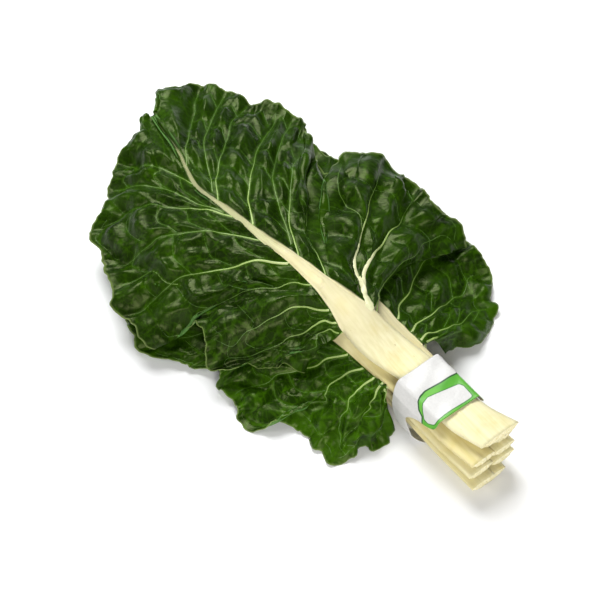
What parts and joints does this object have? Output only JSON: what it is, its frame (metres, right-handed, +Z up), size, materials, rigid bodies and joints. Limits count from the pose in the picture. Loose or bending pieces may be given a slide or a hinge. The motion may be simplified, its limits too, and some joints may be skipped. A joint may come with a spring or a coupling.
{
  "type": "chard bunch",
  "caption": "Bunch of green chard lying on its side: broad crinkled leaves with pale stalks, held by a paper label tie.",
  "frame": {"origin": "on the surface the bunch lies on, under the middle of the tie's flat underside", "axes": "+X along the bunch towards the cut ends of the stalks, +Y across it towards the far side, +Z up"},
  "size_m": [0.4293, 0.263, 0.068],
  "materials": {
    "leaf": "satin",
    "label_paper": "satin"
  },
  "bodies": {
    "root": {"top_leaf": "leaf", "near_side_leaf": "leaf", "far_side_leaf": "leaf", "lower_leaf_1": "leaf", "lower_leaf_2": "leaf", "lower_leaf_3": "leaf", "lower_leaf_4": "leaf", "lower_leaf_5": "leaf", "label_tie": "label_paper"}
  },
  "joints": []
}
